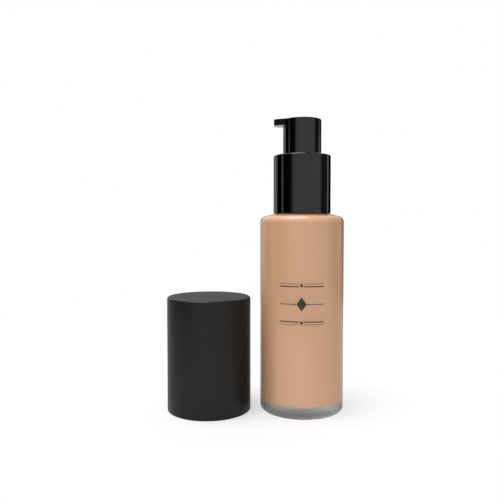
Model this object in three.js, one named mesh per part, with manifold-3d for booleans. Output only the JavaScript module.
// A 30 ml pump bottle of liquid foundation: a thick-based glass bottle, a screw-on cream pump
// with its collar and press-down actuator, and the straight overcap standing beside it.
// Millimetres, +Z up. The origin is the centre of the bottle's base, on the table.
import * as THREE from 'three';
import { mergeVertices } from 'three/addons/utils/BufferGeometryUtils.js';
import Module from 'manifold-3d';

// ---------------------------------------------------------------- driving dimensions

// Glass bottle
const bodyRadius = 16.5;
const wall = 2.8;
const baseThickness = 4.0;
const footFillet = 1.9;
const shoulderTop = 77.7; // height of the shoulder where the collar stands
const shoulderDrop = 0.85; // the shoulder's fall from the collar to its round
const shoulderRound = 1.9;
const boreRadius = 5.3; // opening of the neck

// Neck finish: an 18 mm screw neck with 8 threads to the inch
const neckRadius = 7.75;
const finishTop = 91.2;
const threadPitch = 3.175;
const neckThread = { crest: 8.8, bottom: 84.3, turns: 1.75 };
const closureThread = { crest: 7.95, bottom: 83.0, turns: 1.25 };
const threadOffset = 1.4; // the closure's thread bears up under the neck's, with play

// Collar and actuator
const collarRadius = 11.25;
const collarFoot = 77.9;
const collarTop = 100.7;
const collarWall = 0.9;
const actuatorRadius = 7.5;
const actuatorTop = 114.7;
const nozzleTop = 114.82; // the nozzle stands a little proud of the finger rest
const actuatorFoot = 99.0;
const stroke = 4.2;
const nozzleReach = 11.1; // from the pump's axis to the nozzle's tip
const nozzleHeading = THREE.MathUtils.degToRad(-5.25); // turn of the nozzle away from -X

// Pump engine
const cylinderBore = 3.6;
const cylinderWall = 0.8;
const flangeRadius = 8.3;
const flangeBottom = 92.1;
const cylinderFloor = 74.1;
const stemRadius = 2.1;
const ballRadius = 1.5875; // an eighth-inch ball
const springRest = 8.6;
const tubeRadius = 1.7;

// Overcap
const capRadius = 16.6;
const capHeight = 45.1;
const capWall = 1.3;
const capEdge = 1.05;
const capSpacing = 37.0; // between the bottle's axis and the cap's
const sleeveBore = 11.5; // slides over the collar

// Clearance between pieces that slide or seat on each other
const slip = 0.1;

// Facets round a turned piece, by its size
const facets = { large: 44, medium: 36, small: 24 };

// ---------------------------------------------------------------- materials

const plastic = (color, roughness) => new THREE.MeshStandardMaterial({ color, roughness, metalness: 0 });
const frostedGlass = plastic('#b9bbba', 0.35);
const foundation = plastic('#cda483', 0.5);
const matteBlack = plastic('#2b2b2b', 0.6);
const glossBlack = plastic('#0a0a0a', 0.12);
const innerBlack = plastic('#1a1a1a', 0.4);
const naturalPlastic = plastic('#e4e3dc', 0.4);
const clearTube = plastic('#dfe0dc', 0.3);
const softPlastic = plastic('#f0efe9', 0.5);
const steel = new THREE.MeshStandardMaterial({ color: '#b8babd', roughness: 0.25, metalness: 1 });

// ---------------------------------------------------------------- shape helpers

// Points on part of an ellipse, from one angle to another, in degrees.
function arc(centre, radii, from, to, steps) {
  return Array.from({ length: steps + 1 }, (_, i) => {
    const angle = THREE.MathUtils.degToRad(from + ((to - from) * i) / steps);
    return [centre[0] + radii[0] * Math.cos(angle), centre[1] + radii[1] * Math.sin(angle)];
  });
}

// A solid turned round the Z axis from [radius, height] points: up the outside, then down the inside.
function turned(profile, segments) {
  const points = profile.map(([radius, height]) => new THREE.Vector2(radius, height));
  return new THREE.LatheGeometry(points, segments).rotateX(Math.PI / 2);
}

// The same, for a profile that doesn't reach the axis.
const ring = (profile, segments) => turned([...profile, profile[0]], segments);

// A plain washer or tube.
function tube(inner, outer, bottom, top, segments) {
  return ring([[inner, bottom], [outer, bottom], [outer, top], [inner, top]], segments);
}

// A straight rod along Z.
function rod(radius, bottom, top, segments) {
  return turned([[0, bottom], [radius, bottom], [radius, top], [0, top]], segments);
}

// A block between two corners.
function block(low, high) {
  const size = high.map((value, i) => value - low[i]);
  const middle = high.map((value, i) => (value + low[i]) / 2);
  return new THREE.BoxGeometry(...size).translate(...middle);
}

// A flat outline raised from one height to another.
function raised(shape, bottom, top) {
  return new THREE.ExtrudeGeometry(shape, { depth: top - bottom, bevelEnabled: false }).translate(0, 0, bottom);
}

// A thread: a trapezium swept round the axis, fading out at both ends.
function thread({ root, crest, bottom, turns, rootWidth, crestWidth }) {
  const section = new THREE.Shape([
    new THREE.Vector2(-rootWidth / 2, root),
    new THREE.Vector2(rootWidth / 2, root),
    new THREE.Vector2(crestWidth / 2, crest),
    new THREE.Vector2(-crestWidth / 2, crest),
  ]);
  const steps = Math.round(turns * 30);
  const sweep = new THREE.ExtrudeGeometry(section, { depth: 1, steps, bevelEnabled: false });
  const place = sweep.getAttribute('position');
  const fadeLength = 0.09;
  for (let i = 0; i < place.count; i++) {
    const along = place.getZ(i);
    const fade = Math.min(1, 0.1 + along / fadeLength, 0.1 + (1 - along) / fadeLength);
    const radius = root + (place.getY(i) - root) * fade;
    const angle = along * turns * 2 * Math.PI;
    const height = bottom + place.getX(i) * Math.max(fade, 0.4) + along * turns * threadPitch;
    place.setXYZ(i, radius * Math.cos(angle), radius * Math.sin(angle), height);
  }
  return sweep;
}

// ---------------------------------------------------------------- cutting and joining

const wasm = await Module();
wasm.setup();

function solid(geometry) {
  const bare = geometry.clone();
  bare.deleteAttribute('normal');
  bare.deleteAttribute('uv');
  const merged = mergeVertices(bare, 1e-4);
  return new wasm.Manifold(
    new wasm.Mesh({
      numProp: 3,
      vertProperties: merged.getAttribute('position').array,
      triVerts: new Uint32Array(merged.index.array),
    }),
  );
}

function geometryOf(manifold) {
  const mesh = manifold.getMesh();
  return new THREE.BufferGeometry()
    .setAttribute('position', new THREE.BufferAttribute(mesh.vertProperties, 3))
    .setIndex(new THREE.BufferAttribute(mesh.triVerts, 1));
}

// ---------------------------------------------------------------- the object

const assembly = new THREE.Group();
assembly.name = 'foundation_bottle';

function add(name, geometry, material, parent = assembly) {
  const mesh = new THREE.Mesh(geometry, material);
  mesh.name = name;
  parent.add(mesh);
}

// ---- bottle

const innerRadius = bodyRadius - wall;
const innerRoof = shoulderTop - 1.8; // underside of the shoulder
const roofRound = 1.6;
const floorRound = 0.7;

const bottleProfile = [
  [0, 0],
  ...arc([bodyRadius - footFillet, footFillet], [footFillet, footFillet], -90, 0, 4),
  ...arc(
    [bodyRadius - shoulderRound, shoulderTop - shoulderDrop - shoulderRound],
    [shoulderRound, shoulderRound],
    0,
    90,
    5,
  ),
  [collarRadius, shoulderTop],
  [neckRadius + 0.6, shoulderTop + 0.25],
  [neckRadius, shoulderTop + 0.8],
  [neckRadius, finishTop - 0.5],
  [neckRadius - 0.5, finishTop],
  [boreRadius + 0.4, finishTop],
  [boreRadius, finishTop - 0.4],
  [boreRadius, shoulderTop + 0.4],
  [boreRadius + 1.5, innerRoof],
  ...arc([innerRadius - roofRound, innerRoof - roofRound], [roofRound, roofRound], 90, 0, 4),
  ...arc([innerRadius - floorRound, baseThickness + floorRound], [floorRound, floorRound], 0, -90, 3),
  [0, baseThickness],
];
const neckRidge = thread({ ...neckThread, root: neckRadius - 0.2, rootWidth: 1.9, crestWidth: 0.85 });
add(
  'glass_bottle',
  geometryOf(solid(turned(bottleProfile, facets.large)).add(solid(neckRidge))),
  frostedGlass,
);

// ---- foundation, filling the bottle round the pump

const fillBottom = baseThickness + slip;
const cylinderOuter = cylinderBore + cylinderWall;
const socketRadius = 2.7;
const socketBottom = 61.0;
const coneBottom = 68.6;
const coneTop = 70.3;
const tubeBottom = 4.9;
const pumpGap = 0.3; // foundation to pump

add(
  'foundation_fill',
  turned(
    [
      [0, fillBottom],
      ...arc([innerRadius - floorRound, baseThickness + floorRound], [floorRound - slip, floorRound - slip], -90, 0, 3),
      ...arc([innerRadius - roofRound, innerRoof - roofRound], [roofRound - slip, roofRound - slip], 0, 90, 4),
      [cylinderOuter + pumpGap, innerRoof - slip],
      [cylinderOuter + pumpGap, coneTop - pumpGap],
      [socketRadius + pumpGap, coneBottom - pumpGap],
      [socketRadius + pumpGap, socketBottom - pumpGap],
      [tubeRadius + pumpGap, socketBottom - pumpGap],
      [tubeRadius + pumpGap, tubeBottom - pumpGap],
      [0, tubeBottom - pumpGap],
    ],
    facets.large,
  ),
  foundation,
);

// ---- pump engine

const flangeTop = flangeBottom + 1.1;
const turretRadius = 4.95;
const turretTop = 96.2;
const counterbore = 4.05;
const counterboreFloor = 90.2;
const ballChamber = 1.95;
const seatTop = coneTop;
const inletRadius = 0.9;
const seatBottom = seatTop - (ballChamber - inletRadius);
const socketRoof = 67.7;

const housing = ring(
  [
    [tubeRadius + 0.05, socketBottom],
    [socketRadius, socketBottom],
    [socketRadius, coneBottom],
    [cylinderOuter, coneTop],
    [cylinderOuter, flangeBottom],
    [flangeRadius, flangeBottom],
    [flangeRadius, flangeTop],
    [turretRadius, flangeTop],
    [turretRadius, turretTop],
    [counterbore, turretTop],
    [counterbore, counterboreFloor],
    [cylinderBore, counterboreFloor],
    [cylinderBore, cylinderFloor],
    [ballChamber, cylinderFloor],
    [ballChamber, seatTop],
    [inletRadius, seatBottom],
    [inletRadius, socketRoof],
    [tubeRadius + 0.05, socketRoof],
  ],
  facets.small,
);
// The vent lets air into the bottle as foundation leaves it. It is covered by the piston at rest.
const ventHeight = 86.2;
const vent = new THREE.CylinderGeometry(0.4, 0.4, 2, 8)
  .rotateZ(Math.PI / 2)
  .translate(-(cylinderBore + cylinderOuter) / 2, 0, ventHeight);
add('pump_housing', geometryOf(solid(housing).subtract(solid(vent))), naturalPlastic);

add('neck_gasket', tube(cylinderOuter + slip, flangeRadius - slip, finishTop, flangeBottom, facets.small), softPlastic);

// The tube's foot is cut at a slant so that it can't seal itself on the glass.
const dipTube = tube(tubeRadius - 0.55, tubeRadius, tubeBottom, socketRoof - 0.2, 16);
const slantCut = new THREE.BoxGeometry(8, 8, 4).translate(0, 0, -2).rotateY(0.5).translate(0, 0, tubeBottom + 1.1);
add('dip_tube', geometryOf(solid(dipTube).subtract(solid(slantCut))), clearTube);

// The ball rests in its conical seat, 0.05 mm clear of it.
const ballHeight = seatBottom - inletRadius + Math.SQRT2 * (ballRadius + 0.05);
add('check_ball', new THREE.SphereGeometry(ballRadius, 16, 12).rotateX(Math.PI / 2).translate(0, 0, ballHeight), steel);

const retainerTop = cylinderFloor + 0.8;
add('ball_retainer', tube(1.1, cylinderBore - slip, cylinderFloor, retainerTop, facets.small), naturalPlastic);

// Return spring: round wire, with a closed turn at each end.
class SpringLine extends THREE.Curve {
  constructor(radius, bottom, top, activeTurns, wire) {
    super();
    Object.assign(this, { radius, bottom, top, activeTurns, wire });
  }

  getPoint(t, target = new THREE.Vector3()) {
    const turns = this.activeTurns + 2;
    const turn = t * turns;
    const closedRise = this.wire * 1.15;
    const rise = this.top - this.bottom - 2 * closedRise;
    const ends = Math.min(turn, 1) + Math.max(turn - turns + 1, 0);
    const open = Math.min(Math.max(turn - 1, 0), this.activeTurns) / this.activeTurns;
    const angle = turn * 2 * Math.PI;
    return target.set(
      this.radius * Math.cos(angle),
      this.radius * Math.sin(angle),
      this.bottom + ends * closedRise + open * rise,
    );
  }
}
const wire = 0.5;
const springBottom = retainerTop + slip;
const springTop = springBottom + springRest;
const springLine = new SpringLine(2.75, springBottom + wire / 2, springTop - wire / 2, 5, wire);
const wireSection = new THREE.Shape().absarc(0, 0, wire / 2, 0, 2 * Math.PI);
add(
  'return_spring',
  new THREE.ExtrudeGeometry(wireSection, { steps: 98, curveSegments: 6, extrudePath: springLine }),
  steel,
);

// Guide bush pressed into the top of the housing. It carries the stem and stops it at the top.
const guideFoot = counterboreFloor + 0.3;
const guideFlange = turretTop + slip;
add(
  'stem_guide',
  ring(
    [
      [stemRadius + 0.15, guideFoot],
      [counterbore - slip, guideFoot],
      [counterbore - slip, guideFlange],
      [turretRadius, guideFlange],
      [turretRadius, guideFlange + 0.6],
      [turretRadius - 0.3, guideFlange + 0.9],
      [stemRadius + 0.15, guideFlange + 0.9],
    ],
    facets.small,
  ),
  naturalPlastic,
);

// ---- plunger: the valve stem is pressed into the hollow upper stem

const valveBottom = springTop + slip;
const pistonFoot = valveBottom + 1.0;
const pistonTop = pistonFoot + 3.2;
const pistonPlay = 0.9; // how far the piston slides on the stem to open and shut the valve
const stemFoot = pistonTop + pistonPlay;
const stemBore = 1.2;
const stemTop = 109.5;

const valveProfile = [
  [0, valveBottom],
  [3.0, valveBottom],
  [3.0, valveBottom + 0.35],
  [1.45, valveBottom + 0.9],
  [1.45, stemFoot - slip],
  [stemBore - 0.08, stemFoot - slip],
  [stemBore - 0.08, stemFoot + 4],
  [0, stemFoot + 4],
];
// The slot is the way up for the foundation, past the open valve and into the hollow stem.
const valveSlot = block([-2, -0.35, stemFoot - 1.9], [2, 0.35, stemFoot + 5]);
add(
  'valve_stem',
  geometryOf(solid(turned(valveProfile, facets.small)).subtract(solid(valveSlot))),
  naturalPlastic,
);

add(
  'upper_stem',
  ring(
    [
      [stemBore, stemFoot],
      [3.1, stemFoot],
      [3.1, stemFoot + 0.8],
      [stemRadius, stemFoot + 1.1],
      [stemRadius, stemTop - 0.4],
      [stemRadius - 0.4, stemTop],
      [stemBore, stemTop],
    ],
    facets.small,
  ),
  naturalPlastic,
);

// Sliding piston with a wiping lip at each end.
const lip = cylinderBore - 0.08;
add(
  'piston_seal',
  ring(
    [
      [1.6, pistonFoot],
      [lip - 0.4, pistonFoot],
      [lip, pistonFoot + 0.1],
      [lip, pistonFoot + 0.6],
      [lip - 0.35, pistonFoot + 0.95],
      [lip - 0.35, pistonTop - 0.95],
      [lip, pistonTop - 0.6],
      [lip, pistonTop],
      [lip - 0.4, pistonTop],
      [lip - 0.8, pistonTop - 0.8],
      [1.6, pistonTop - 0.8],
    ],
    facets.small,
  ),
  softPlastic,
);

// ---- closure: threaded inner cap, and the glossy collar pressed over it

const closureInner = 8.95;
const closureOuter = 10.1;
const plateBottom = flangeTop + slip;
const plateTop = plateBottom + 1.0;
const closureFoot = 79.2;
const collarInner = collarRadius - collarWall;

const closureBody = ring(
  [
    [closureInner, closureFoot],
    [closureOuter, closureFoot],
    [closureOuter, plateTop],
    [turretRadius + 0.2, plateTop],
    [turretRadius + 0.2, plateBottom],
    [closureInner, plateBottom],
  ],
  facets.medium,
);
const closureRidge = thread({
  ...closureThread,
  bottom: neckThread.bottom - threadOffset,
  root: closureInner + 0.2,
  rootWidth: 1.7,
  crestWidth: 0.7,
});
// Drive ribs lock the collar to the closure, so that turning the collar unscrews the pump.
const ribCount = 24;
const ribPitch = (2 * Math.PI) / ribCount;
const ribOutline = new THREE.Shape(
  Array.from({ length: ribCount }, (_, i) =>
    [
      [0, closureOuter - 0.1],
      [0.5, closureOuter - 0.1],
      [0.6, collarInner - slip],
      [0.9, collarInner - slip],
    ].map(([share, radius]) => {
      const angle = (i + share) * ribPitch;
      return new THREE.Vector2(radius * Math.cos(angle), radius * Math.sin(angle));
    }),
  ).flat(),
);
ribOutline.holes.push(new THREE.Path().absarc(0, 0, closureOuter - 0.5, 0, 2 * Math.PI, true));
const ribs = raised(ribOutline, closureFoot + 1.5, plateTop - 1.5);
add(
  'screw_closure',
  geometryOf(solid(closureBody).add(solid(closureRidge)).add(solid(ribs))),
  innerBlack,
);

const collarEdge = 0.5;
const collarLid = 1.0;
const collarHole = actuatorRadius + 0.3;
add(
  'collar_shell',
  ring(
    [
      [collarInner, collarFoot],
      [collarRadius - 0.15, collarFoot],
      [collarRadius, collarFoot + 0.15],
      ...arc([collarRadius - collarEdge, collarTop - collarEdge], [collarEdge, collarEdge], 0, 90, 3),
      [collarHole + 0.2, collarTop],
      [collarHole, collarTop - 0.2],
      [collarHole, collarTop - collarLid],
      [collarInner, collarTop - collarLid],
      [collarInner, plateTop + 0.9],
      [collarInner - 1, plateTop + 0.9],
      [collarInner - 1, plateTop + slip],
      [collarInner, plateTop + slip],
    ],
    facets.large,
  ),
  glossBlack,
);

// ---- actuator: a glossy shell over a core that plugs onto the stem

const head = new THREE.Group();
head.rotation.z = nozzleHeading;
assembly.add(head);

const skirtInner = 6.5;
const topUnderside = actuatorTop - 1.2;
const dish = 0.3; // depth of the hollow that the finger rests in
const dishRadius = 5.2;
const shellEdge = 0.35;
const shellBody = turned(
  [
    [skirtInner, actuatorFoot],
    [actuatorRadius - 0.15, actuatorFoot],
    [actuatorRadius, actuatorFoot + 0.15],
    ...arc([actuatorRadius - shellEdge, actuatorTop - shellEdge], [shellEdge, shellEdge], 0, 90, 3),
    [dishRadius, actuatorTop],
    [dishRadius - 1.6, actuatorTop - dish],
    [0, actuatorTop - dish],
    [0, topUnderside],
    [skirtInner, topUnderside],
    [skirtInner, actuatorFoot],
  ],
  facets.large,
);

// The nozzle is a beak with a flat top: it narrows in plan from the shell to its rounded tip.
const nozzleRoot = { half: 4.2, at: -5.4 };
const nozzleTip = { half: 2.05, corner: 0.4 };
const nozzleBottom = 112.3;
const nozzleOutline = new THREE.Shape()
  .moveTo(nozzleRoot.at, nozzleRoot.half)
  .lineTo(-nozzleReach + nozzleTip.corner, nozzleTip.half)
  .lineTo(-nozzleReach, nozzleTip.half - nozzleTip.corner)
  .lineTo(-nozzleReach, nozzleTip.corner - nozzleTip.half)
  .lineTo(-nozzleReach + nozzleTip.corner, -nozzleTip.half)
  .lineTo(nozzleRoot.at, -nozzleRoot.half)
  .closePath();
// Its underside rises a little towards the tip.
const nozzleRise = THREE.MathUtils.degToRad(2.6);
const undersideCut = new THREE.BoxGeometry(12, 12, 4)
  .translate(-6, 0, -2)
  .rotateY(nozzleRise)
  .translate(-skirtInner, 0, nozzleBottom + 0.02);

// The core's spout runs out through this channel.
const spoutWidth = 2.2;
const spoutBottom = 113.1;
const spoutTop = 114.0;
const channel = block(
  [-nozzleReach - 1, -spoutWidth / 2 - 0.2, spoutBottom - 0.12],
  [1.6, spoutWidth / 2 + 0.2, spoutTop + 0.12],
);
const nozzleBar = solid(raised(nozzleOutline, nozzleBottom, nozzleTop)).subtract(solid(undersideCut));
add(
  'actuator_shell',
  geometryOf(solid(shellBody).add(nozzleBar).subtract(solid(channel))),
  glossBlack,
  head,
);

const socketFoot = 102.0;
const socketTop = stemTop + 0.4;
const socketBore = stemRadius + 0.12;
const coreDisc = 6.3;
const coreBody = turned(
  [
    [socketBore, socketFoot],
    [3.1, socketFoot],
    [3.1, socketTop],
    [coreDisc, socketTop],
    [coreDisc, socketTop + 1.1],
    [0, socketTop + 1.1],
    [0, socketTop],
    [socketBore, socketTop],
    [socketBore, socketFoot],
  ],
  facets.small,
);
const spout = block([-nozzleReach + 0.25, -spoutWidth / 2, spoutBottom], [1.4, spoutWidth / 2, spoutTop]);
const spoutPost = block([-1.4, -spoutWidth / 2, socketTop + 0.6], [1.4, spoutWidth / 2, spoutBottom + 0.3]);
const riser = rod(0.8, socketTop - 0.5, (spoutBottom + spoutTop) / 2, 12);
const outlet = new THREE.CylinderGeometry(0.25, 0.25, nozzleReach + 1, 10)
  .rotateZ(Math.PI / 2)
  .translate(-(nozzleReach + 1) / 2, 0, (spoutBottom + spoutTop) / 2);
add(
  'actuator_core',
  geometryOf(
    solid(coreBody).add(solid(spout)).add(solid(spoutPost)).subtract(solid(riser)).subtract(solid(outlet)),
  ),
  innerBlack,
  head,
);

// ---- overcap, standing beside the bottle on its rim

const cap = new THREE.Group();
cap.position.x = -capSpacing;
assembly.add(cap);

const capInner = capRadius - capWall;
const capLid = 1.6;
add(
  'cap_shell',
  turned(
    [
      [capInner, 0],
      [capRadius - 0.2, 0],
      [capRadius, 0.2],
      ...arc([capRadius - capEdge, capHeight - capEdge], [capEdge, capEdge], 0, 90, 4),
      [0, capHeight],
      [0, capHeight - capLid],
      [capInner, capHeight - capLid],
      [capInner, 0],
    ],
    facets.large,
  ),
  matteBlack,
  cap,
);

// Liner: a cup that slides over the collar, with a mouth flange and webs that centre it in the shell.
const sleeveWall = 0.8;
const sleeveOuter = sleeveBore + sleeveWall;
const mouth = 1.4;
const linerTop = capHeight - capLid - slip;
const flangeThickness = 1.0;
const beadHeight = 8.0;
const linerBody = turned(
  [
    [sleeveBore + 0.3, mouth],
    [capInner - slip, mouth],
    [capInner - slip, mouth + flangeThickness],
    [sleeveOuter, mouth + flangeThickness],
    [sleeveOuter, linerTop],
    [0, linerTop],
    [0, linerTop - sleeveWall],
    [sleeveBore, linerTop - sleeveWall],
    [sleeveBore, beadHeight + 0.6],
    [sleeveBore - 0.2, beadHeight + 0.2],
    [sleeveBore - 0.2, beadHeight - 0.2],
    [sleeveBore, beadHeight - 0.6],
    [sleeveBore, mouth + 0.5],
    [sleeveBore + 0.3, mouth],
  ],
  facets.medium,
);
const webCount = 6;
let liner = solid(linerBody);
for (let i = 0; i < webCount; i++) {
  const web = block([sleeveBore + 0.4, -0.4, mouth + 0.5], [capInner - 0.2, 0.4, linerTop - 4]);
  liner = liner.add(solid(web.rotateZ((i * 2 * Math.PI) / webCount)));
}
add('cap_liner', geometryOf(liner), naturalPlastic, cap);

export default assembly;
